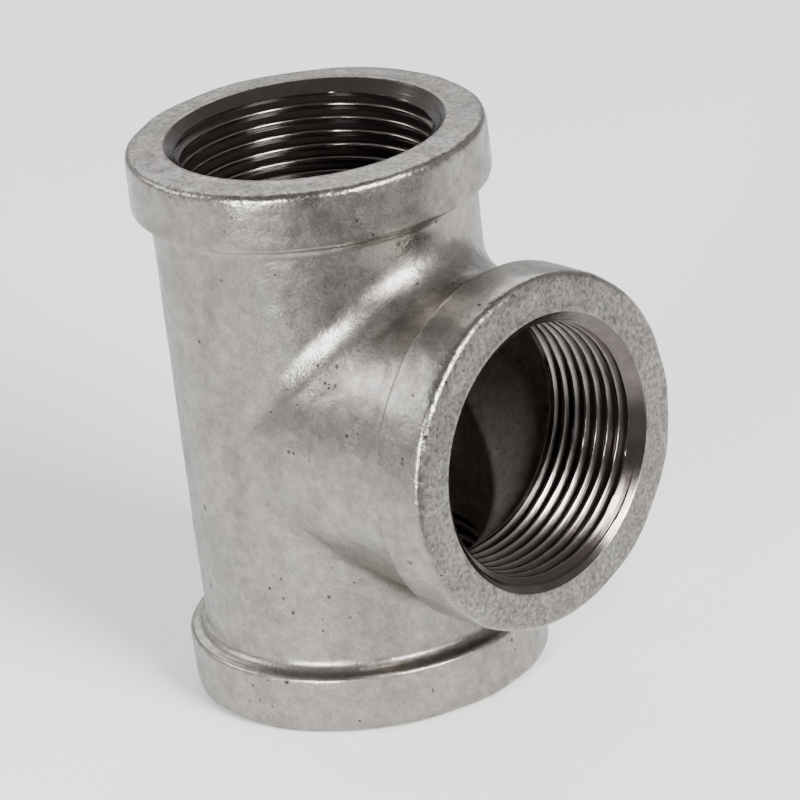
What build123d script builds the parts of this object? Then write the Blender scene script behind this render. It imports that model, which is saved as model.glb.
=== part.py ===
"""Galvanised malleable-iron pipe tee, NPS 1-1/4, Class 150, banded, three female threads.

Frame, in millimetres: the origin is the centre of the lower run mouth, +Z runs up
the run to the upper mouth, and the branch points along +X at half height.

The fitting is one iron casting. It is dipped in zinc and tapped afterwards, so its
zinc is left in two coats, one outside and one in the waterway, and the countersinks
and the tapped necks between them are bare iron.
"""
import math
import os

from build123d import *

# Layout
centre_to_end = 44.45  # from the crossing of the axes to each mouth

# Barrels, outside
run_barrel_radius = 25.2
branch_barrel_radius = 24.9
junction_fillet = 6.0  # hollow corner between the run and the branch

# Bands that stiffen the three mouths
band_radius = 27.9
band_width = 9.8
shoulder_fillet = 1.6  # hollow corner between a barrel and its band
shoulder_round_share = 0.9  # back edge of a band, as a share of the step that its hollow leaves
rim_round = 1.4  # edge between a band and its end face

# Necks, plain at the tap drill's size for a 1-1/4 - 11.5 NPT thread
tap_drill_radius = 19.05
neck_length = 18.0  # from a mouth's face to the waterway
countersink_radius = 21.7
countersink_depth = 2.2

# Waterway between the necks, as cored and coated
run_waterway_radius = 21.4
branch_waterway_radius = 21.1
ledge_angle = 28.0  # slope of the ledge behind a neck, in degrees from the mouth's plane
waterway_edge_round = 2.4  # edge where the branch waterway opens into the run

# Zinc coats
zinc_thickness = 0.086  # least average thickness of a hot-dip coat on a casting

# Spare length of a tool past the face where it enters
tool_overrun = 5.0


def turned(corners, rounds):
    """A solid turned about Z from the half-section through corners, as (radius, height).

    rounds gives the fillet radius of some of the corners, by their number.
    """
    with BuildPart() as part:
        with BuildSketch(Plane.XZ) as section:
            with BuildLine():
                Polyline(*corners, close=True)
            make_face()
            for number, radius in rounds.items():
                corner = section.vertices().sort_by_distance((*corners[number], 0))[0]
                fillet(corner, radius)
        revolve(axis=Axis.Z)
    return part.part


def tee_of(run_half, branch):
    """Join two opposite halves of the run and a branch, each given along +Z from the crossing."""
    run = run_half + run_half.rotate(Axis.X, 180)
    return run + branch.rotate(Axis.Y, 90)


def crossing_edges(tee):
    """The curved edges where the branch of a tee meets its run."""
    return [edge for edge in tee.edges() if edge.geom_type not in (GeomType.CIRCLE, GeomType.LINE)]


def banded_barrel(barrel_radius, inset):
    """Half of a barrel and its band, solid, with every outer surface moved in by inset."""
    inner = barrel_radius - inset
    outer = band_radius - inset
    shoulder = centre_to_end - band_width + inset
    face = centre_to_end - inset
    step = band_radius - barrel_radius
    shoulder_round = shoulder_round_share * (step - shoulder_fillet)
    corners = [(0, 0), (inner, 0), (inner, shoulder), (outer, shoulder), (outer, face), (0, face)]
    rounds = {2: shoulder_fillet + inset, 3: shoulder_round - inset, 4: rim_round - inset}
    return turned(corners, rounds)


def outside(inset):
    """The fitting without its bores, with every outer surface moved in by inset."""
    tee = tee_of(banded_barrel(run_barrel_radius, inset), banded_barrel(branch_barrel_radius, inset))
    return fillet(crossing_edges(tee), junction_fillet + inset)


def cored_half(waterway_radius, growth):
    """Half of a waterway up to its neck, with its walls moved out by growth."""
    radius = waterway_radius + growth
    slope = math.radians(ledge_angle)
    neck_end = centre_to_end - neck_length + growth / math.cos(slope)
    ledge_start = neck_end - (radius - tap_drill_radius) * math.tan(slope)
    corners = [(0, 0), (radius, 0), (radius, ledge_start), (tap_drill_radius, neck_end), (0, neck_end)]
    return turned(corners, {})


def waterway(growth):
    """The space inside the fitting between its necks, with its walls moved out by growth."""
    tee = tee_of(cored_half(run_waterway_radius, growth), cored_half(branch_waterway_radius, growth))
    return fillet(crossing_edges(tee), waterway_edge_round - growth)


def neck_cut():
    """What the drill and the countersink take out of one mouth, along +Z from the crossing."""
    overrun_radius = countersink_radius + (countersink_radius - tap_drill_radius) * tool_overrun / countersink_depth
    corners = [
        (0, 0),
        (tap_drill_radius, 0),
        (tap_drill_radius, centre_to_end - countersink_depth),
        (overrun_radius, centre_to_end + tool_overrun),
        (0, centre_to_end + tool_overrun),
    ]
    return turned(corners, {})


def write(name, shape):
    """Stand a piece on the lower mouth and write it as a STEP file of that name."""
    piece = shape.moved(Location((0, 0, centre_to_end)))
    piece.label = name
    export_step(piece, f"parts/{name}.step")


os.makedirs("parts", exist_ok=True)
necks = tee_of(neck_cut(), neck_cut())
iron_outside = outside(zinc_thickness)
iron_waterway = waterway(zinc_thickness)
write("casting", iron_outside - iron_waterway - necks)
write("outer_zinc", outside(0) - iron_outside - necks)
write("waterway_zinc", iron_waterway - waterway(0) - necks)
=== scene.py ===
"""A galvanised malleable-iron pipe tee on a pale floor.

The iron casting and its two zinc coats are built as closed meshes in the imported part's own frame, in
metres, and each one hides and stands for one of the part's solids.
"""
import logging
import math
from abc import ABC, abstractmethod
from collections.abc import Callable
from dataclasses import dataclass, field
from enum import Enum
from functools import partial

import bpy
import numpy as np
from mathutils import Matrix, Vector, noise


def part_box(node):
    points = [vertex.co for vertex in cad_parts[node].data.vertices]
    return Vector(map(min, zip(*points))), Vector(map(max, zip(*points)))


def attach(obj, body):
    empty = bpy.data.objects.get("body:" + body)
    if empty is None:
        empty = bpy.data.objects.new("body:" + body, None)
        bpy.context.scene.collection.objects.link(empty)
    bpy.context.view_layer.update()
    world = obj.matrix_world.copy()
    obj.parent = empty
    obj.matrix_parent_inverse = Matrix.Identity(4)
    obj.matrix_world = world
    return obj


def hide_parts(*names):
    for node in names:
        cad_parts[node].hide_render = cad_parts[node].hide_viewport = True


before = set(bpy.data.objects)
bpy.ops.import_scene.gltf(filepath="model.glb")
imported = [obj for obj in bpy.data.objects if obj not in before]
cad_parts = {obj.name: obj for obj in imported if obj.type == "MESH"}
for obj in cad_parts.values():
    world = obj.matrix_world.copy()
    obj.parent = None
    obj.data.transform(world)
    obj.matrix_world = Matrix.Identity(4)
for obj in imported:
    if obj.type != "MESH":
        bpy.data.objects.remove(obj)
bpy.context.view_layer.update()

MM = 0.001
INCH = 25.4 * MM
FACE_REACH = 0.6 * MM  # depth below an end face at which its finish has gone
RIM_REACH = 2.4 * MM  # how far a rim's finish reaches from the corner of a band
HOLLOW_REACH = 1.6 * MM  # how far the painted light in a hollow reaches from its corner
log = logging.getLogger("pipe_tee")


# --- sizes


@dataclass(frozen=True)
class TeeSizes:
    """The sizes that the casting and its coats share, in metres."""

    centre_to_end: float
    band_radius: float
    barrel_radius: float = 25.2 * MM
    junction_fillet: float = 6.0 * MM
    band_width: float = 9.8 * MM
    shoulder_fillet: float = 1.6 * MM
    shoulder_round: float = 1.0 * MM
    rim_round: float = 1.4 * MM
    drill_radius: float = 19.05 * MM
    neck_length: float = 18.0 * MM
    countersink_radius: float = 21.7 * MM
    countersink_depth: float = 2.2 * MM
    waterway_radius: float = 21.4 * MM
    waterway_edge_round: float = 2.4 * MM
    ledge_angle: float = math.radians(28.0)
    ledge_corner: float = 1.6 * MM
    ledge_corner_share: float = 0.6
    zinc: float = 0.086 * MM

    @property
    def countersink_slope(self) -> float:
        """How much the countersink narrows for each unit of depth."""
        return (self.countersink_radius - self.drill_radius) / self.countersink_depth

    def neck_end(self, growth: float) -> float:
        """Distance from the crossing to a neck's inner end, for walls moved out by growth."""
        return self.centre_to_end - self.neck_length + growth / math.cos(self.ledge_angle)


def sizes_from_frame() -> TeeSizes:
    """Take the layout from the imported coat, which is the outermost solid.

    Returns:
        The sizes, with the centre-to-end length and the band radius read from the frame.
    """
    low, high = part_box("outer_zinc")
    return TeeSizes(centre_to_end=(high.z - low.z) / 2, band_radius=(high.y - low.y) / 2)


class Mouth(Enum):
    """The three mouths, each with the turn that takes +Z to its outward direction."""

    UPPER = "upper"
    LOWER = "lower"
    BRANCH = "branch"

    @property
    def turn(self) -> np.ndarray:
        """Rotation from a mouth drawn along +Z to this one.

        Returns:
            The matrix, rounded so that points shared by two mouths stay in one place.
        """
        turns = {
            Mouth.UPPER: Matrix.Identity(3),
            Mouth.LOWER: Matrix.Rotation(math.pi, 3, "X"),
            Mouth.BRANCH: Matrix.Rotation(math.pi / 2, 3, "Y"),
        }
        return np.round(np.array(turns[self], dtype=float), 6)

    def locate(self, points: np.ndarray) -> tuple[np.ndarray, np.ndarray]:
        """Each point's distance from this mouth's axis, and its distance along it."""
        local = points @ self.turn
        return np.hypot(local[:, 0], local[:, 1]), local[:, 2]


# --- outlines

Point = tuple[float, float]


def arc(centre: Point, radius: float, start: float, end: float, steps: int) -> np.ndarray:
    """Points along an arc, without its first point.

    Args:
        centre: Centre of the arc.
        radius: Its radius.
        start: First angle, in degrees.
        end: Last angle, in degrees.
        steps: Number of points returned.

    Returns:
        An array of points, one a row.
    """
    angles = np.radians(np.linspace(start, end, steps + 1)[1:])
    return np.array(centre) + radius * np.column_stack([np.cos(angles), np.sin(angles)])


def straight(start: Point, end: Point, steps: int) -> np.ndarray:
    """Evenly spaced points along a straight line, without its first point."""
    share = np.linspace(0, 1, steps + 1)[1:, None]
    return np.array(start) * (1 - share) + np.array(end) * share


def soft_corner(start: Point, corner: Point, end: Point, steps: int) -> np.ndarray:
    """Points along a curve that follows the two sides of a corner without reaching it.

    Args:
        start: Point on the first side, where the curve leaves it. It isn't returned.
        corner: Where the two sides meet.
        end: Point on the second side, where the curve joins it.
        steps: Number of points returned.

    Returns:
        An array of points, one a row.
    """
    share = np.linspace(0, 1, steps + 1)[1:, None]
    first, middle, last = np.array(start), np.array(corner), np.array(end)
    return first * (1 - share) ** 2 + middle * 2 * share * (1 - share) + last * share**2


def outside_profile(sizes: TeeSizes, inset: float) -> np.ndarray:
    """Barrel end, band and face of an arm, as (radius, distance from the crossing).

    Args:
        sizes: The fitting's sizes.
        inset: How far every surface is moved in.

    Returns:
        The outline from the end of the straight barrel to the countersink's edge.
    """
    barrel, band = sizes.barrel_radius - inset, sizes.band_radius - inset
    face = sizes.centre_to_end - inset
    shoulder = sizes.centre_to_end - sizes.band_width + inset
    hollow, back = sizes.shoulder_fillet + inset, sizes.shoulder_round - inset
    rim = sizes.rim_round - inset
    mouth = sizes.countersink_radius - inset * sizes.countersink_slope
    return np.concatenate([
        [(barrel, shoulder - hollow)],
        arc((barrel + hollow, shoulder - hollow), hollow, 180, 90, 6),
        arc((band - back, shoulder + back), back, -90, 0, 6),
        straight((band, shoulder + back), (band, face - rim), 9),
        arc((band - rim, face - rim), rim, 0, 90, 7),
        straight((band - rim, face), (mouth, face), 8),
    ])


def waterway_profile(sizes: TeeSizes, growth: float) -> np.ndarray:
    """Waterway wall's end and the ledge behind a neck, as (radius, distance from the crossing).

    Args:
        sizes: The fitting's sizes.
        growth: How far every wall is moved out.

    Returns:
        The outline from the end of the straight wall to the neck.
    """
    radius, end = sizes.waterway_radius + growth, sizes.neck_end(growth)
    fall = math.tan(sizes.ledge_angle)
    corner = (radius, end - (radius - sizes.drill_radius) * fall)
    before = (radius, corner[1] - sizes.ledge_corner)
    reach = sizes.ledge_corner_share * (radius - sizes.drill_radius)
    after = (radius - reach, corner[1] + reach * fall)
    return np.concatenate([
        [before],
        soft_corner(before, corner, after, 6),
        straight(after, (sizes.drill_radius, end), 3),
    ])


# --- surfaces


def ring(columns: int) -> np.ndarray:
    """Angles of the columns around a circle, with the first one repeated at the end."""
    return np.linspace(0, 2 * math.pi, columns + 1)


def turned(radius: np.ndarray, angle: np.ndarray, along: np.ndarray) -> np.ndarray:
    """Points at a radius and an angle about +Z, and at a distance along it."""
    return np.stack([radius * np.cos(angle), radius * np.sin(angle), along], axis=-1)


def smooth_step(value: np.ndarray) -> np.ndarray:
    """0 below 0, 1 above 1, and a smooth rise between them."""
    value = np.clip(value, 0, 1)
    return value * value * (3 - 2 * value)


@dataclass
class CrossedTubes:
    """The surface of a run and a branch of one radius, joined by a smooth fillet.

    Attributes:
        radius: Radius of both tubes.
        fillet: Reach of the fillet from the crossing curve along each tube, at its widest.
        profile: What follows each tube's straight stretch, as (radius, distance) rows.
        columns: Divisions around a tube, a multiple of four.
        rows: Divisions along a tube's straight stretch.
        fillet_rows: Divisions across the fillet.
    """

    radius: float
    fillet: float
    profile: np.ndarray
    columns: int
    rows: int
    fillet_rows: int = 10

    def _lengthwise(self, start: np.ndarray) -> tuple[np.ndarray, np.ndarray]:
        """Radius and distance of every row of an arm.

        Args:
            start: Distance from the crossing at which each column starts.

        Returns:
            Two arrays, one row of the surface to a row and one column to a column.
        """
        share = np.linspace(0, 1, self.rows + 1)[:-1, None]
        plain = start[None] * (1 - share) + self.profile[0, 1] * share
        end = np.repeat(self.profile[:, 1:], len(start), axis=1)
        distance = np.concatenate([plain, end])
        widths = np.repeat(self.profile[:, :1], len(start), axis=1)
        return np.concatenate([np.full_like(plain, self.radius), widths]), distance

    def run_arm(self, side: int) -> np.ndarray:
        """Half of the run, from the crossing to a mouth.

        Args:
            side: 1 for the upper half, or -1 for the lower.

        Returns:
            The grid of points.
        """
        angle = ring(self.columns)
        start = (self.radius + self.fillet) * np.clip(np.cos(angle), 0, None)
        radius, distance = self._lengthwise(start)
        return turned(radius, angle, side * distance)

    def branch_arm(self) -> np.ndarray:
        """The branch, from the crossing to its mouth.

        Returns:
            The grid of points.
        """
        angle = ring(self.columns)
        start = (self.radius + self.fillet) * np.abs(np.cos(angle))
        radius, distance = self._lengthwise(start)
        return np.stack([distance, radius * np.sin(angle), radius * np.cos(angle)], axis=-1)

    def fillet_strip(self, side: int) -> np.ndarray:
        """The fillet on one side of the branch.

        In each plane across the crossing the strip is an arc that touches both tubes. It
        narrows to nothing where the tubes run into each other at the sides.

        Args:
            side: 1 for the fillet above the branch, or -1 for the one below it.

        Returns:
            The grid of points.
        """
        around = np.linspace(-math.pi / 2, math.pi / 2, self.columns // 2 + 1)
        across = np.linspace(0, math.pi / 2, self.fillet_rows + 1)[:, None]
        half = self.radius * np.cos(around)
        reach = self.fillet / self.radius
        x = half * (1 + reach * (1 - np.cos(across)))
        z = half * (1 + reach * (1 - np.sin(across)))
        y = np.repeat(self.radius * np.sin(around)[None], len(across), axis=0)
        return np.stack([x, y, side * z], axis=-1)

    def grids(self) -> list[np.ndarray]:
        """Build the whole surface.

        Returns:
            Its grids, wound so that their faces look outwards.
        """
        return [
            self.run_arm(1),
            self.run_arm(-1)[:, ::-1],
            self.branch_arm()[:, ::-1],
            self.fillet_strip(1)[::-1],
            self.fillet_strip(-1),
        ]


@dataclass(frozen=True)
class TaperThread:
    """American taper pipe thread, internal, 1-1/4 inch, 11.5 threads to the inch.

    Attributes:
        pitch: Distance between crests.
        height: Depth of the groove below the crest.
        mouth_crest_radius: Radius at the crests in the plane of the mouth.
        taper: How much the radius shrinks for each unit of depth.
        crest_half_width: Half the width of a sharp crest's flat, as a share of the pitch.
        root_half_width: Half the width of the groove's floor, as a share of the pitch.
        wear: How round a crest and a root are, as a share of the height.
        run_out: Length over which the grooves fade at the inner end, in pitches.
    """

    pitch: float = INCH / 11.5
    height: float = 1.38 * MM
    mouth_crest_radius: float = 19.42 * MM
    taper: float = 1 / 32
    crest_half_width: float = 0.095
    root_half_width: float = 0.04
    wear: float = 0.10
    run_out: float = 0.5

    def knots(self) -> np.ndarray:
        """Where the rows lie across one pitch, from a crest's middle to the next one's.

        Returns:
            Their places as shares of the pitch, closest where the outline turns.
        """
        half = [0.0, 0.045, 0.07, 0.095, 0.12, 0.155, 0.27, 0.39, 0.45, 0.5]
        return np.array(half[:-1] + [1 - h for h in half[:0:-1]])

    def groove(self, phase: np.ndarray) -> np.ndarray:
        """Depth of the groove, from 0 at a crest to 1 at a root.

        Args:
            phase: Place across the pitch, with whole numbers at the crests.

        Returns:
            The depth at each place.
        """
        away = 0.5 - np.abs((phase % 1) - 0.5)
        flank = 0.5 - self.crest_half_width - self.root_half_width
        share = (away - self.crest_half_width) / flank
        share = (share + np.hypot(share, self.wear)) / 2
        return 1 - (1 - share + np.hypot(1 - share, self.wear)) / 2


@dataclass
class TappedNeck:
    """The bare iron of one mouth: its countersink, and the thread behind it."""

    sizes: TeeSizes
    mouth: Mouth
    columns: int
    thread: TaperThread = field(default_factory=TaperThread)
    CONE_PAINTED_SHADE = 0.35  # painted shade on the countersink, as dark as part way down a groove

    def _depths(self) -> tuple[np.ndarray, np.ndarray]:
        """Row depths that follow the helix, and each one's place across the pitch.

        Returns:
            Depth below the mouth's face, one row of the surface to a row and one column to
            a column, and the phase of each row.
        """
        pitch = self.thread.pitch
        first, last = self.sizes.zinc, self.sizes.centre_to_end - self.sizes.neck_end(self.sizes.zinc)
        turns = np.arange(-1, math.ceil(last / pitch) + 2)
        phase = (turns[:, None] + self.thread.knots()[None]).ravel()
        share = np.linspace(0, 1, self.columns + 1)
        depth = np.clip(pitch * (phase[:, None] + 1 - share[None]), first, last)
        return depth, phase

    def grid(self) -> tuple[np.ndarray, np.ndarray, np.ndarray]:
        """Build the surface from the face down to the neck's inner end.

        Returns:
            The grid of points; how deep in a groove each point is, from 0 to 1; and its
            depth below the mouth's face.
        """
        sizes, thread = self.sizes, self.thread
        depth, phase = self._depths()
        last = depth.max()
        fade = smooth_step((last - depth) / (thread.run_out * thread.pitch))
        share = thread.groove(phase)[:, None]
        crest = thread.mouth_crest_radius - depth * thread.taper
        tapped = crest + thread.height * share - (1 - fade) * thread.height
        cone = sizes.countersink_radius - depth * sizes.countersink_slope
        radius = np.maximum(np.maximum(tapped, cone), sizes.drill_radius)
        groove = np.clip((radius - sizes.drill_radius) / thread.height, 0, 1)
        # Painted shade: the countersink gets the dark colour of part way down a groove.
        groove[radius == cone] = self.CONE_PAINTED_SHADE
        local = turned(radius, ring(self.columns), sizes.centre_to_end - depth)
        return local @ self.mouth.turn.T, groove, depth


@dataclass
class Quilt:
    """Grids of points sewn into one mesh wherever their points coincide.

    Attributes:
        grids: Grids of points, each an array of rows, columns and coordinates.
    """

    grids: list[np.ndarray]
    WELD = 1e-7  # points this close, in metres, are one point
    SHIFT = 0.37  # keeps round sizes away from the edge between two whole numbers

    def __post_init__(self) -> None:
        """Number the points, with one number for all points in the same place."""
        points = np.concatenate([grid.reshape(-1, 3) for grid in self.grids])
        keys = self._keys(points)
        _, first, number = np.unique(keys, axis=0, return_index=True, return_inverse=True)
        self.first = first
        self.number = number.ravel()
        self.points = points[first]
        self.faces = self._faces()

    def _keys(self, points: np.ndarray) -> np.ndarray:
        """Whole numbers that are the same for points in the same place."""
        return np.floor(points / self.WELD + self.SHIFT).astype(np.int64)

    def where(self, points: np.ndarray) -> list[int]:
        """Numbers of the quilt's points that lie at the given points."""
        order = {key: i for i, key in enumerate(map(tuple, self._keys(self.points).tolist()))}
        return [order[key] for key in map(tuple, self._keys(points).tolist())]

    def _faces(self) -> np.ndarray:
        """Find the corners of every quad between neighbouring points.

        Returns:
            Numbers of the corners, four to a row.
        """
        faces, start = [], 0
        for grid in self.grids:
            rows, columns = grid.shape[:2]
            index = self.number[start:start + rows * columns].reshape(rows, columns)
            start += rows * columns
            corners = [index[:-1, :-1], index[:-1, 1:], index[1:, 1:], index[1:, :-1]]
            faces.append(np.stack(corners, axis=-1).reshape(-1, 4))
        return np.concatenate(faces)

    def same_sewing(self, grids: list[np.ndarray]) -> np.ndarray:
        """Points of other grids of the same shapes, numbered as this quilt's points are."""
        rows = [grid.reshape(-1, grid.shape[-1]) for grid in grids]
        return np.concatenate(rows)[self.first]

    def normals(self) -> np.ndarray:
        """Find the direction out of the surface at each point.

        Returns:
            Unit normals, averaged over the faces around each point.
        """
        a, b, c, d = (self.points[self.faces[:, i]] for i in range(4))
        face_normals = np.cross(c - a, d - b)
        total = np.zeros_like(self.points)
        for i in range(4):
            np.add.at(total, self.faces[:, i], face_normals)
        length = np.linalg.norm(total, axis=1, keepdims=True)
        return total / np.maximum(length, 1e-20)


def clean_faces(faces: np.ndarray) -> list[tuple[int, ...]]:
    """Turn quads with repeated corners into triangles, and drop those with fewer.

    Args:
        faces: Corners, four to a row.

    Returns:
        The faces that have an area.
    """
    kept = []
    for face in faces.tolist():
        corners = tuple(v for i, v in enumerate(face) if v != face[i - 1])
        if len(corners) >= 3 and len(set(corners)) == len(corners):
            kept.append(corners)
    return kept


def mesh_object(name: str, points: np.ndarray, faces: list[tuple[int, ...]], sharp: float,
                marks: dict[str, np.ndarray] | None = None) -> bpy.types.Object:
    """Make a smooth-shaded mesh object at the frame's origin.

    Args:
        name: Name of the object.
        points: Its vertices, measured from the crossing of the axes.
        faces: Its faces.
        sharp: Edges that turn more than this angle, in degrees, stay sharp.
        marks: Numbers kept at the vertices for the finish to use, by name.

    Returns:
        The object, linked to the scene.
    """
    mesh = bpy.data.meshes.new(name)
    mesh.from_pydata(points.tolist(), [], faces)
    mesh.validate()
    mesh.shade_smooth()
    mesh.set_sharp_from_angle(angle=math.radians(sharp))
    for mark, values in (marks or {}).items():
        attribute = mesh.attributes.new(mark, "FLOAT", "POINT")
        attribute.data.foreach_set("value", values.astype(np.float32))
    piece = bpy.data.objects.new(name, mesh)
    bpy.context.scene.collection.objects.link(piece)
    return piece


# --- cast relief


@dataclass(frozen=True)
class CastRelief:
    """The slight unevenness of a sand-cast and dipped surface, always below the true size.

    Attributes:
        swell: Depth of the broad hollows.
        swell_width: Width of the broad hollows.
        ripple: Depth of the small ones.
        ripple_width: Width of the small ones.
        rim_loss: Most that is missing from the rim of a band.
        rim_width: Length of the places where a rim is short.
    """

    swell: float = 0.26 * MM
    swell_width: float = 10.0 * MM
    ripple: float = 0.12 * MM
    ripple_width: float = 2.3 * MM
    rim_loss: float = 0.40 * MM
    rim_width: float = 7.0 * MM

    def depth(self, points: np.ndarray, rim: np.ndarray) -> np.ndarray:
        """How far the surface lies below its true size.

        Args:
            points: Points measured from the crossing of the axes.
            rim: How near each point is to the rim of a band, from 0 to 1.

        Returns:
            The depth at each point.
        """
        widths = (self.swell_width, self.ripple_width, self.rim_width)
        waves = [[noise.noise(Vector(point) / width) for width in widths] for point in points.tolist()]
        share = 0.5 + 0.5 * np.clip(np.array(waves), -1, 1)
        return share @ np.array([self.swell, self.ripple, 0.0]) + self.rim_loss * rim * share[:, 2]


def near_machined_edge(points: np.ndarray, sizes: TeeSizes) -> np.ndarray:
    """1 away from the countersinks and the necks, and 0 at their edges.

    Args:
        points: Points measured from the crossing of the axes.
        sizes: The fitting's sizes.

    Returns:
        The share of the relief that each point keeps.
    """
    margin = 1.5 * MM
    between = 21.6 * MM  # less than the countersink's radius, and more than the waterway's
    keep = np.ones(len(points))
    for mouth in Mouth:
        radius, along = mouth.locate(points)
        beyond = along > sizes.neck_end(0) - 2 * margin
        share = smooth_step((radius - sizes.countersink_radius) / margin)
        ledge = smooth_step((sizes.neck_end(0) - along) / margin)
        keep = np.where(beyond, keep * np.where(radius > between, share, ledge), keep)
    return keep


def zone_marks(points: np.ndarray, sizes: TeeSizes) -> dict[str, np.ndarray]:
    """Mark the end faces, the rims of the bands and the hollow corners behind them.

    Args:
        points: Points measured from the crossing of the axes.
        sizes: The fitting's sizes.

    Returns:
        For each zone, how far each point belongs to it, from 0 to 1.
    """
    face, rim, hollow = np.zeros((3, len(points)))
    shoulder = sizes.centre_to_end - sizes.band_width
    middle = 0.5 * MM  # from the corner behind a band to the middle of its hollow, each way
    # A rim or a hollow is whole near its corner and fades to nothing just past its reach.
    for mouth in Mouth:
        radius, along = mouth.locate(points)
        face = np.maximum(face, smooth_step(1 - (sizes.centre_to_end - along) / FACE_REACH))
        away = np.hypot(radius - sizes.band_radius, along - sizes.centre_to_end)
        rim = np.maximum(rim, smooth_step(1.15 - away / RIM_REACH))
        away = np.hypot(radius - sizes.barrel_radius - middle, along - shoulder + middle)
        hollow = np.maximum(hollow, smooth_step(1.2 - away / HOLLOW_REACH))
    return {"end_face": face, "rim": rim, "hollow": hollow}


# --- materials

Socket = bpy.types.NodeSocket
AddNode = Callable[..., Socket]
NOISE_SPREAD = {"From Min": 0.3, "From Max": 0.7}  # the range that noise nearly always keeps to


def srgb(code: str) -> tuple[float, float, float, float]:
    """Turn an sRGB colour into a linear one.

    Args:
        code: Hex code such as #A0A0A0.

    Returns:
        Linear red, green and blue, and full opacity.
    """
    parts = [int(code[i:i + 2], 16) / 255 for i in (1, 3, 5)]
    linear = [c / 12.92 if c <= 0.04045 else ((c + 0.055) / 1.055) ** 2.4 for c in parts]
    return (*linear, 1.0)


def add_node(tree: bpy.types.NodeTree, kind: str, inputs: dict | None = None, output: str | int = 0,
             stops: list[tuple[float, str]] | None = None, **settings: object) -> Socket | None:
    """Add a node to a tree.

    Args:
        tree: The node tree.
        kind: The node's type name.
        inputs: A value, or another node's output, for each input by name or number.
        output: Name or number of the output wanted.
        stops: Place and sRGB hex code of each colour stop, for a colour ramp.
        settings: Values of the node's own properties.

    Returns:
        The output wanted, or None if the node has no outputs.
    """
    node = tree.nodes.new(kind)
    for name, value in settings.items():
        setattr(node, name, value)
    for name, value in (inputs or {}).items():
        if isinstance(value, Socket):
            tree.links.new(value, node.inputs[name])
        else:
            node.inputs[name].default_value = value
    for number, (position, code) in enumerate(stops or []):
        elements = node.color_ramp.elements
        element = elements[number] if number < 2 else elements.new(position)
        element.position, element.color = position, srgb(code)
    return node.outputs[output] if node.outputs else None


class Finish(ABC):
    """A surface finish that can make its material."""

    name: str

    @abstractmethod
    def shade(self, node: AddNode) -> Socket:
        """Add the finish's nodes.

        Args:
            node: Adds a node to the material.

        Returns:
            The shader's output.
        """

    def build(self) -> bpy.types.Material:
        """Make the material.

        Returns:
            The material, under the finish's name.
        """
        material = bpy.data.materials.new(self.name)
        material.use_nodes = True
        material.node_tree.nodes.clear()
        node = partial(add_node, material.node_tree)
        node("ShaderNodeOutputMaterial", {"Surface": self.shade(node)})
        return material


@dataclass(frozen=True)
class Skin:
    """What the colour, roughness and bumps of a zinc skin all draw on."""

    place: Socket  # the point on the surface
    end_face: Socket  # 1 on the end faces
    rim: Socket  # 1 at the rims of the bands
    hollow: Socket  # 1 in the hollows behind the bands
    patches: Socket  # where the zinc froze paler or darker
    lumps: Socket  # the small lumps of the casting
    grain: Socket  # the finest grain
    crust: Socket  # 1 where dross makes it rough


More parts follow.
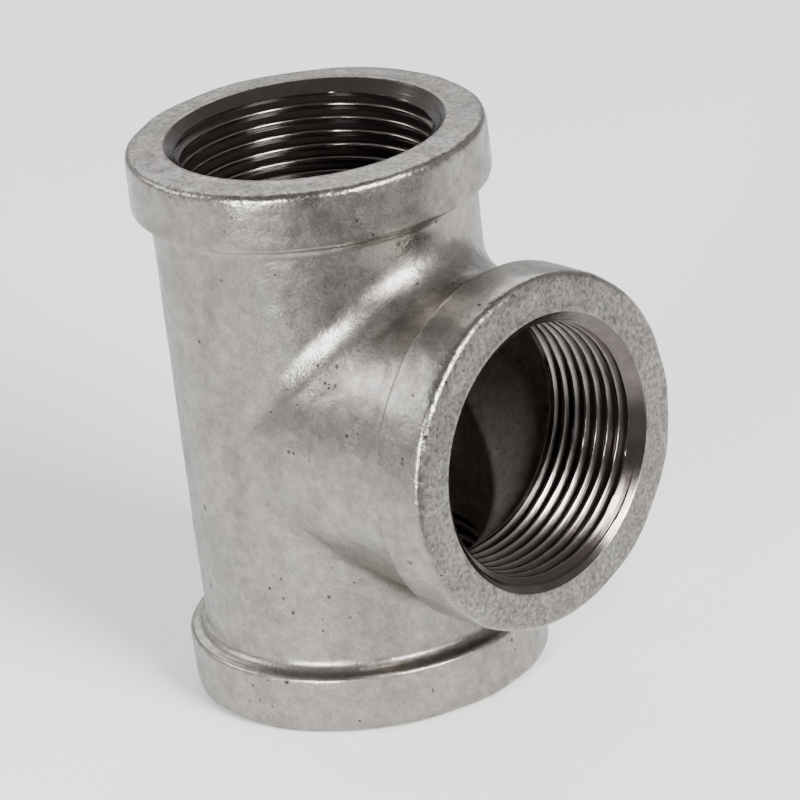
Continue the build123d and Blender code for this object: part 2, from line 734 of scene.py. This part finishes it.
@dataclass(frozen=True)
class DippedZinc(Finish):
    """Hot-dip galvanised cast iron: zinc frozen over a sand-cast skin.

    Attributes:
        name: The material's name.
        colours: Darkest to lightest patch, as hex codes.
        smooth: Roughness of the smoothest patches.
        rough: Roughness of the dullest ones.
        metallic: 1 for clean metal, less for metal under a dull film of its salts.
        patch_width: Width of the colour patches.
        cast_width: Width of the faint pink and green areas.
        crust_width: Width of the rough areas.
        wipe_width: Width of the speckles on the wiped end faces.
        lump_width: Width of the small lumps in the skin.
        lump_height: Their height.
        grain_width: Width of the skin's finest grain.
        grain_height: Its height.
        pits: Mean distance between pits, and the radius of the widest.
        specks: The same of the small pits.
        nicks: The same of the long slanting ones.
        blisters: The same of the close ones where the skin is rough.
    """

    # The eye sees a soft metal grey in patches a few millimetres wide, with pin-prick pits, a
    # faint pink and green cast, and a highlight that the grain of the skin breaks up. The end
    # faces are speckled and duller, where the hot zinc was wiped.
    name: str = "zinc_hot_dipped"
    colours: tuple[str, str, str] = ("#77736F", "#84807B", "#908C87")
    smooth: float = 0.22
    rough: float = 0.35
    metallic: float = 1.0
    patch_width: float = 4.2 * MM
    cast_width: float = 9 * MM
    crust_width: float = 7.5 * MM
    wipe_width: float = 0.75 * MM
    lump_width: float = 1.7 * MM
    lump_height: float = 0.07 * MM
    grain_width: float = 0.38 * MM  # moulding sand is about 0.2 mm, drawn coarser so it shows
    grain_height: float = 0.009 * MM
    pits: tuple[float, float] = (2.6 * MM, 0.27 * MM)
    specks: tuple[float, float] = (0.8 * MM, 0.16 * MM)
    nicks: tuple[float, float] = (6.0 * MM, 0.95 * MM)
    blisters: tuple[float, float] = (1.1 * MM, 0.50 * MM)

    def _skin(self, node: AddNode) -> Skin:
        """Add the zones and the patterns.

        Args:
            node: Adds a node to the material.

        Returns:
            Their outputs.
        """
        place = node("ShaderNodeTexCoord", output="Object")
        zones = {zone: node("ShaderNodeAttribute", output="Fac", attribute_name=zone)
                 for zone in ("end_face", "rim", "hollow")}
        patches = node("ShaderNodeTexNoise", {
            "Vector": place, "Scale": 1 / self.patch_width, "Detail": 6.0, "Roughness": 0.70})
        lumps = node("ShaderNodeTexNoise", {
            "Vector": place, "Scale": 1 / self.lump_width, "Detail": 3.0, "Roughness": 0.6,
            "Distortion": 0.4})
        grain = node("ShaderNodeTexNoise", {
            "Vector": place, "Scale": 1 / self.grain_width, "Detail": 2.0, "Roughness": 0.6})
        crust = node("ShaderNodeTexNoise", {
            "Vector": place, "Scale": 1 / self.crust_width, "Detail": 3.0})
        crust = node("ShaderNodeMapRange", {"Value": crust, "From Min": 0.55, "From Max": 0.66})
        return Skin(place, patches=patches, lumps=lumps, grain=grain, crust=crust, **zones)

    def _pits(self, node: AddNode, place: Socket, spacing: float, widest: float) -> Socket:
        """Add pits of mixed sizes.

        Args:
            node: Adds a node to the material.
            place: The point on the surface.
            spacing: Mean distance between pits.
            widest: Radius of the widest pit.

        Returns:
            1 in a pit and 0 between pits.
        """
        scale = {"Vector": place, "Scale": 1 / spacing}
        cell = node("ShaderNodeTexVoronoi", scale, "Color")
        size = node("ShaderNodeSeparateColor", {"Color": cell}, "Red")
        few = node("ShaderNodeMath", {0: size, 1: 2.5}, operation="POWER")
        reach = node("ShaderNodeMath", {0: few, 1: widest / spacing}, operation="MULTIPLY")
        away = node("ShaderNodeTexVoronoi", scale, "Distance")
        share = node("ShaderNodeMath", {0: away, 1: reach}, operation="DIVIDE")
        return node("ShaderNodeMapRange", {
            "Value": share, "From Min": 0.5, "From Max": 1.0, "To Min": 1.0, "To Max": 0.0},
            interpolation_type="SMOOTHSTEP")

    def _holes(self, node: AddNode, skin: Skin) -> Socket:
        """Add everything that breaks the skin.

        Args:
            node: Adds a node to the material.
            skin: The skin's zones and patterns.

        Returns:
            1 in the deepest holes and 0 on whole skin.
        """
        slant = node("ShaderNodeMapping", {
            "Vector": skin.place, "Rotation": (0.7, 0.4, 0.0), "Scale": (1.0, 2.6, 1.0)})
        ragged = node("ShaderNodeMapRange", {
            "Value": skin.grain, "From Min": 0.36, "From Max": 0.50})
        holes = self._pits(node, skin.place, *self.pits)
        for place, kind, strength in (
            (skin.place, self.specks, 0.7),
            (slant, self.nicks, ragged),
            (skin.place, self.blisters, skin.crust),
        ):
            more = node("ShaderNodeMath", {0: self._pits(node, place, *kind), 1: strength},
                        operation="MULTIPLY")
            holes = node("ShaderNodeMath", {0: holes, 1: more}, operation="MAXIMUM")
        return holes

    def _colour(self, node: AddNode, skin: Skin, holes: Socket) -> Socket:
        """Add the colour of the patches, their faint casts, the dark of the holes and the painted light
        in the hollows.

        Args:
            node: Adds a node to the material.
            skin: The skin's zones and patterns.
            holes: 1 in a hole.

        Returns:
            The colour.
        """
        low, middle, high = self.colours
        base = node("ShaderNodeValToRGB", {"Fac": skin.patches},
                    stops=[(0.30, low), (0.72, high), (0.5, middle)])
        tint = node("ShaderNodeTexNoise", {
            "Vector": skin.place, "Scale": 1 / self.cast_width, "Detail": 2.0}, "Color")
        tint = node("ShaderNodeHueSaturation", {"Color": tint, "Saturation": 0.16, "Value": 1.0})
        base = node("ShaderNodeMix", {"Factor": 0.35, "A": base, "B": tint}, 2, data_type="RGBA",
                    blend_type="SOFT_LIGHT")
        light = node("ShaderNodeMapRange", {
            "Value": skin.lumps, **NOISE_SPREAD, "To Min": 0.82, "To Max": 1.15})
        fine = node("ShaderNodeMapRange", {
            "Value": skin.grain, **NOISE_SPREAD, "To Min": 0.86, "To Max": 1.12})
        wiped = node("ShaderNodeTexNoise", {
            "Vector": skin.place, "Scale": 1 / self.wipe_width, "Detail": 3.0, "Roughness": 0.7})
        wiped = node("ShaderNodeMapRange", {
            "Value": wiped, "From Min": 0.36, "From Max": 0.62, "To Min": 0.47, "To Max": 1.09})
        speckled = node("ShaderNodeMix", {"Factor": skin.end_face, "A": 1.0, "B": wiped}, 0)
        # Painted light: the hollows behind the bands are lightened by up to 12 percent.
        hollow_painted_light = node("ShaderNodeMath", {0: skin.hollow, 1: 0.12, 2: 1.0}, operation="MULTIPLY_ADD")
        for share in (fine, speckled, hollow_painted_light):
            light = node("ShaderNodeMath", {0: light, 1: share}, operation="MULTIPLY")
        base = node("ShaderNodeVectorMath", {0: base, "Scale": light}, operation="SCALE")
        return node("ShaderNodeMix", {"Factor": holes, "A": base, "B": srgb("#35312E")}, 2,
                    data_type="RGBA")

    def shade(self, node: AddNode) -> Socket:
        """Add the zinc's nodes.

        Args:
            node: Adds a node to the material.

        Returns:
            The shader's output.
        """
        skin = self._skin(node)
        holes = self._holes(node, skin)
        rough = node("ShaderNodeMapRange", {
            "Value": skin.patches, "From Min": 0.35, "From Max": 0.65, "To Min": self.rough,
            "To Max": self.smooth})
        for part, amount in ((skin.end_face, 0.08), (skin.rim, -0.05), (skin.grain, 0.12)):
            rough = node("ShaderNodeMath", {0: part, 1: amount, 2: rough}, operation="MULTIPLY_ADD")
        knocked = node("ShaderNodeMath", {0: skin.rim, 1: 2.0, 2: 1.0}, operation="MULTIPLY_ADD")
        knocked = node("ShaderNodeMath", {0: skin.lumps, 1: knocked}, operation="MULTIPLY")
        crusted = node("ShaderNodeMath", {0: skin.grain, 1: skin.crust, 2: knocked},
                       operation="MULTIPLY_ADD")
        normal = node("ShaderNodeBump", {"Height": crusted, "Distance": self.lump_height})
        height = node("ShaderNodeMath", {0: skin.grain, 1: holes}, operation="SUBTRACT")
        normal = node("ShaderNodeBump", {
            "Height": height, "Distance": self.grain_height, "Normal": normal})
        return node("ShaderNodeBsdfPrincipled", {
            "Base Color": self._colour(node, skin, holes), "Metallic": self.metallic,
            "Roughness": rough, "Normal": normal})


@dataclass(frozen=True)
class TappedIron(Finish):
    """Malleable iron cut by a drill, a countersink and a tap, with cutting oil left in it and painted
    shade in its grooves.

    Attributes:
        name: The material's name.
        ring_spacing: Distance between the tools' rings, in millimetres.
        ring_depth: Their depth.
        stain_width: Width of the stains.
        stain_depth: Thickness of the film that makes them.
    """

    # The eye sees bright lines along the crests, dark brownish grooves, and fine rings left by
    # the edges of the tools.
    name: str = "malleable_iron_tapped"
    ring_spacing: float = 0.16
    ring_depth: float = 0.022 * MM
    stain_width: float = 2.4 * MM
    stain_depth: float = 0.012 * MM

    def shade(self, node: AddNode) -> Socket:
        """Add the cut iron's nodes.

        Args:
            node: Adds a node to the material.

        Returns:
            The shader's output.
        """
        place = node("ShaderNodeTexCoord", output="Object")
        groove = node("ShaderNodeAttribute", output="Fac", attribute_name="groove")
        depth = node("ShaderNodeAttribute", output="Fac", attribute_name="tool_depth")
        stain = node("ShaderNodeTexNoise", {
            "Vector": place, "Scale": 1 / self.stain_width, "Detail": 4.0, "Roughness": 0.65})
        rings = node("ShaderNodeTexNoise", {"W": depth, "Scale": 1 / self.ring_spacing, "Detail": 2.0},
                     noise_dimensions="1D")
        # Painted shade: the colour darkens from the crest to the root, for the shade in the grooves as
        # well as the oil left there.
        base = node("ShaderNodeValToRGB", {"Fac": groove},
                    stops=[(0.0, "#8F8984"), (1.0, "#2A2322"), (0.45, "#453E3B")])
        light = node("ShaderNodeMapRange", {
            "Value": stain, **NOISE_SPREAD, "To Min": 0.72, "To Max": 1.15})
        base = node("ShaderNodeVectorMath", {0: base, "Scale": light}, operation="SCALE")
        rough = node("ShaderNodeMapRange", {
            "Value": stain, **NOISE_SPREAD, "To Min": 0.24, "To Max": 0.14})
        cut = node("ShaderNodeBump", {"Height": rings, "Distance": self.ring_depth})
        cut = node("ShaderNodeBump", {"Height": stain, "Distance": self.stain_depth, "Normal": cut})
        clean = node("ShaderNodeMapRange", {
            "Value": groove, "From Min": 0.3, "To Min": 1.0, "To Max": 0.6})
        return node("ShaderNodeBsdfPrincipled", {
            "Base Color": base, "Metallic": clean, "Roughness": rough, "Normal": cut})


@dataclass(frozen=True)
class FloorWithPaintedShade(Finish):
    """Matt pale floor paint, with painted shade that darkens the floor in front of the fitting.

    Attributes:
        front: Direction in which the floor darkens.
        name: The material's name.
        start: Distance from the fitting's axis at which it starts to.
        end: Distance at which it is darkest.
    """

    front: tuple[float, float, float]
    # The eye sees an even pale ground. From the scene's own camera the grey end of its painted shade is
    # out of view, and shows only in the fitting, as the darker side of its barrels.
    name: str = "floor_matt_painted_shade"
    start: float = 0.07
    end: float = 0.15

    def shade(self, node: AddNode) -> Socket:
        """Add the paint's nodes.

        Args:
            node: Adds a node to the material.

        Returns:
            The shader's output.
        """
        place = node("ShaderNodeTexCoord", output="Object")
        ahead = node("ShaderNodeVectorMath", {0: place, 1: self.front}, "Value", operation="DOT_PRODUCT")
        painted_shade_share = node("ShaderNodeMapRange", {
            "Value": ahead, "From Min": self.start, "From Max": self.end},
            interpolation_type="SMOOTHSTEP")
        cloud = node("ShaderNodeTexNoise", {"Vector": place, "Scale": 3.0, "Detail": 2.0})
        pale = node("ShaderNodeValToRGB", {"Fac": cloud}, stops=[(0.3, "#F6F6F5"), (0.7, "#FAFAF9")])
        # Painted shade: the floor goes to a dark grey in front of the fitting.
        base = node("ShaderNodeMix", {"Factor": painted_shade_share, "A": pale, "B": srgb("#363637")}, 2,
                    data_type="RGBA")
        return node("ShaderNodeBsdfPrincipled", {"Base Color": base, "Roughness": 0.8})


# --- pieces


@dataclass
class PipeTee:
    """The fitting: its casting and the two coats of zinc on it.

    The columns are the divisions around a barrel, a waterway or a neck, and the rows are those
    along it. The waterway's coat has the casting's.
    """

    sizes: TeeSizes
    relief: CastRelief = field(default_factory=CastRelief)
    core_relief: CastRelief = field(default_factory=lambda: CastRelief(
        swell=0.0, ripple=0.12 * MM, ripple_width=3.2 * MM))
    coat_columns: int = 216
    coat_rows: int = 32
    casting_columns: int = 144
    casting_rows: int = 15

    def _outside(self, inset: float, columns: int, rows: int) -> CrossedTubes:
        """The outer surface, moved in by inset."""
        return CrossedTubes(self.sizes.barrel_radius - inset, self.sizes.junction_fillet + inset,
                            outside_profile(self.sizes, inset), columns, rows)

    def _waterway(self, growth: float, columns: int, rows: int) -> CrossedTubes:
        """The waterway's wall, moved out by growth."""
        return CrossedTubes(self.sizes.waterway_radius + growth, self.sizes.waterway_edge_round - growth,
                            waterway_profile(self.sizes, growth), columns, rows)

    def _sunk(self, quilt: Quilt, relief: CastRelief) -> np.ndarray:
        """How the relief moves each point of a quilt.

        Args:
            quilt: The surface at its true size.
            relief: The unevenness that it gets.

        Returns:
            A step against its normal for each point.
        """
        rim = zone_marks(quilt.points, self.sizes)["rim"]
        depth = relief.depth(quilt.points, rim) * near_machined_edge(quilt.points, self.sizes)
        return -quilt.normals() * depth[:, None]

    def _coat(self, name: str, surface: Callable[[float], CrossedTubes], relief: CastRelief,
              outward: bool) -> bpy.types.Object:
        """Build a coat as a closed shell between its bare side and the iron.

        Args:
            name: Name of the object.
            surface: Gives the coat's surface at a depth below its bare side.
            relief: The unevenness of the coat.
            outward: True if the bare side looks away from the axes.

        Returns:
            The object.
        """
        bare = Quilt(surface(0.0).grids())
        iron = bare.same_sewing(surface(self.sizes.zinc).grids())
        step = self._sunk(bare, relief)
        points = np.concatenate([bare.points + step, iron + step])
        count = len(bare.points)
        faces = clean_faces(bare.faces)
        backs = [tuple(v + count for v in reversed(face)) for face in faces]
        shell = faces + backs + rim_faces(faces, count)
        if not outward:
            shell = [tuple(reversed(face)) for face in shell]
        zones = zone_marks(bare.points, self.sizes)
        marks = {mark: np.tile(values, 2) for mark, values in zones.items()}
        return mesh_object(name, points, shell, sharp=50, marks=marks)

    def build_outer_zinc(self) -> bpy.types.Object:
        """Build the coat on the outside and the end faces."""
        surface = partial(self._outside, columns=self.coat_columns, rows=self.coat_rows)
        return self._coat("outer_zinc_coat", surface, self.relief, outward=True)

    def build_waterway_zinc(self) -> bpy.types.Object:
        """Build the coat in the waterway."""
        surface = partial(self._waterway, columns=self.casting_columns, rows=self.casting_rows)
        return self._coat("waterway_zinc_coat", surface, self.core_relief, outward=False)

    def build_casting(self) -> bpy.types.Object:
        """Build the iron as one closed mesh, with its countersinks and threads.

        Returns:
            The object.
        """
        columns, rows = self.casting_columns, self.casting_rows
        zinc = self.sizes.zinc
        outside = self._outside(zinc, columns, rows).grids()
        inside = [grid[:, ::-1] for grid in self._waterway(zinc, columns, rows).grids()]
        necks = [TappedNeck(self.sizes, mouth, columns).grid() for mouth in Mouth]
        quilt = Quilt(outside + inside + [neck[0] for neck in necks])
        step = np.zeros_like(quilt.points)
        for grids, relief in ((outside, self.relief), (inside, self.core_relief)):
            part = Quilt(grids)
            step[quilt.where(part.points)] = self._sunk(part, relief)
        plain = [np.zeros((*grid.shape[:2], 1)) for grid in outside + inside]
        groove = quilt.same_sewing(plain + [neck[1][..., None] for neck in necks])[:, 0]
        depth = quilt.same_sewing(plain + [neck[2][..., None] for neck in necks])[:, 0]
        return mesh_object("iron_casting", quilt.points + step, clean_faces(quilt.faces), sharp=28,
                           marks={"groove": groove, "tool_depth": depth / MM})

    def build(self) -> list[bpy.types.Object]:
        """Build and dress the three pieces and stand them on the lower mouth.

        Returns:
            The pieces.
        """
        # In the waterway the eye sees a dull brownish grey: zinc over the print of a sand core, under a
        # dull film of its salts, in a darker colour than outside that is painted shade.
        inside = DippedZinc("zinc_cored_painted_shade", ("#5F5954", "#6C6560", "#79726C"), 0.50, 0.65,
                            metallic=0.75, lump_height=0.08 * MM)
        plan = [
            (self.build_outer_zinc(), DippedZinc(), "outer_zinc", "zinc_outside"),
            (self.build_waterway_zinc(), inside, "waterway_zinc", "zinc_inside"),
            (self.build_casting(), TappedIron(), "casting", "malleable_iron"),
        ]
        for piece, finish, node, slot in plan:
            piece.data.transform(Matrix.Translation((0, 0, self.sizes.centre_to_end)))
            piece.data.materials.append(finish.build())
            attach(piece, "root")
            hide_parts(node)
            mesh = piece.data
            log.info("%s: %d vertices, %d faces", piece.name, len(mesh.vertices), len(mesh.polygons))
        return [piece for piece, *_ in plan]


def rim_faces(faces: list[tuple[int, ...]], count: int) -> list[tuple[int, ...]]:
    """Faces that close a shell along its open edges.

    Args:
        faces: Faces of the free side.
        count: What is added to a point's number to get its partner on the other side.

    Returns:
        A quad for each open edge.
    """
    edges = {(face[i - 1], corner) for face in faces for i, corner in enumerate(face)}
    return [(b, a, a + count, b + count) for a, b in sorted(edges) if (b, a) not in edges]


# --- studio


def towards(azimuth: float, elevation: float) -> Vector:
    """Direction seen from the fitting.

    Args:
        azimuth: Degrees anticlockwise from +X.
        elevation: Degrees above the floor's plane.

    Returns:
        A vector one unit long.
    """
    turn, rise = math.radians(azimuth), math.radians(elevation)
    return Vector((math.cos(turn) * math.cos(rise), math.sin(turn) * math.cos(rise), math.sin(rise)))


@dataclass(frozen=True)
class SoftBox:
    """A rectangular studio lamp that looks at the fitting.

    Its angles are measured as the camera's are, and its power is in watts.
    """

    name: str
    azimuth: float
    elevation: float
    distance: float
    width: float
    height: float
    power: float

    def place(self, target: Vector) -> bpy.types.Object:
        """Put the lamp in the scene.

        Args:
            target: The point that it faces and that its place is measured from.

        Returns:
            The lamp.
        """
        data = bpy.data.lights.new(self.name, "AREA")
        data.shape = "RECTANGLE"
        data.size, data.size_y, data.energy = self.width, self.height, self.power
        lamp = bpy.data.objects.new(self.name, data)
        direction = towards(self.azimuth, self.elevation)
        lamp.location = target + direction * self.distance
        lamp.rotation_euler = (-direction).to_track_quat("-Z", "Y").to_euler()
        bpy.context.scene.collection.objects.link(lamp)
        return lamp


@dataclass(frozen=True)
class Studio:
    """A pale floor, soft light and the camera.

    Its angles are in degrees, anticlockwise from +X and up from the floor's plane.
    """

    sizes: TeeSizes
    camera_azimuth: float = -43.0
    camera_elevation: float = 22.5
    camera_roll: float = -7.3  # about its own line of sight
    camera_distance: float = 0.9745
    lens: float = 284.6  # in millimetres
    aim: tuple[float, float, float] = (0.0067, 0.0063, -0.0016)
    room_light: float = 0.70
    overhead: float = 0.55  # the share of the room's light left straight overhead
    behind_camera: float = 0.11  # the share left behind the camera
    floor_painted_shade_azimuth: float = -34.0

    def add_camera(self) -> bpy.types.Object:
        """Add the camera and make it the scene's own.

        Returns:
            The camera.
        """
        crossing = Vector((0, 0, self.sizes.centre_to_end))
        target = crossing + Vector(self.aim)
        direction = towards(self.camera_azimuth, self.camera_elevation)
        data = bpy.data.cameras.new("camera")
        data.lens, data.sensor_width = self.lens, 36.0
        data.clip_start, data.clip_end = 0.01, 20.0
        camera = bpy.data.objects.new("camera", data)
        turn = (-direction).to_track_quat("-Z", "Y").to_matrix() @ Matrix.Rotation(
            math.radians(self.camera_roll), 3, "Z")
        place = Matrix.Translation(target + direction * self.camera_distance)
        camera.matrix_world = place @ turn.to_4x4()
        bpy.context.scene.collection.objects.link(camera)
        bpy.context.scene.camera = camera
        return camera

    def add_floor(self) -> bpy.types.Object:
        """Add the floor, a broad disc under the fitting.

        Returns:
            The floor.
        """
        rings, sectors, reach = 24, 96, 6.0
        radii = reach * (np.arange(rings + 1) / rings)[:, None] ** 2
        level = np.zeros((rings + 1, sectors + 1))
        quilt = Quilt([turned(radii, ring(sectors), level)])
        floor = mesh_object("floor", quilt.points, clean_faces(quilt.faces[:, ::-1]), sharp=30)
        # The direction in which the floor's painted shade darkens it.
        front = tuple(towards(self.floor_painted_shade_azimuth, 0.0))
        floor.data.materials.append(FloorWithPaintedShade(front).build())
        return floor

    def add_light(self) -> None:
        """Add the soft lamps and the sky's even light."""
        target = Vector((0, 0, self.sizes.centre_to_end))
        for lamp in (
            SoftBox("lamp_branch_side", -7, 27, 1.2, 0.46, 0.46, 40),
            SoftBox("lamp_blank_side", -77, 10, 1.2, 0.30, 0.38, 24),
            SoftBox("lamp_fill", -148, 30, 1.4, 0.70, 0.50, 8),
            SoftBox("lamp_back", 140, 42, 1.6, 1.4, 0.9, 15),
        ):
            lamp.place(target)
        bpy.context.scene.world = self._room()

    def _room(self) -> bpy.types.World:
        """Make the even light of the room, dimmer overhead and behind the camera.

        Returns:
            The world.
        """
        world = bpy.data.worlds.new("studio")
        world.use_nodes = True
        world.node_tree.nodes.clear()
        node = partial(add_node, world.node_tree)
        azimuth, level, rise = math.radians(self.camera_azimuth), 0.96, 0.26
        front = (math.cos(azimuth) * level, math.sin(azimuth) * level, rise)
        way = node("ShaderNodeTexCoord", output="Generated")
        height = node("ShaderNodeSeparateXYZ", {"Vector": way}, "Z")
        side = node("ShaderNodeMapRange", {
            "Value": height, "From Min": 0.25, "From Max": 0.95, "To Min": 1.0, "To Max": self.overhead},
            interpolation_type="SMOOTHSTEP")
        facing = node("ShaderNodeVectorMath", {0: way, 1: front}, "Value", operation="DOT_PRODUCT")
        dim = node("ShaderNodeMapRange", {
            "Value": facing, "From Min": 0.55, "From Max": 0.95, "To Min": 1.0,
            "To Max": self.behind_camera}, interpolation_type="SMOOTHSTEP")
        share = node("ShaderNodeMath", {0: side, 1: dim}, operation="MULTIPLY")
        strength = node("ShaderNodeMath", {0: share, 1: self.room_light}, operation="MULTIPLY")
        light = node("ShaderNodeBackground", {"Color": srgb("#F4F5F7"), "Strength": strength})
        node("ShaderNodeOutputWorld", {"Surface": light})
        return world


def main() -> None:
    """Build the studio and the fitting."""
    logging.basicConfig(level=logging.INFO, format="%(name)s %(message)s")
    sizes = sizes_from_frame()
    studio = Studio(sizes)
    studio.add_camera()
    studio.add_floor()
    studio.add_light()
    PipeTee(sizes).build()
    bpy.context.view_layer.update()


if __name__ == "__main__":
    main()
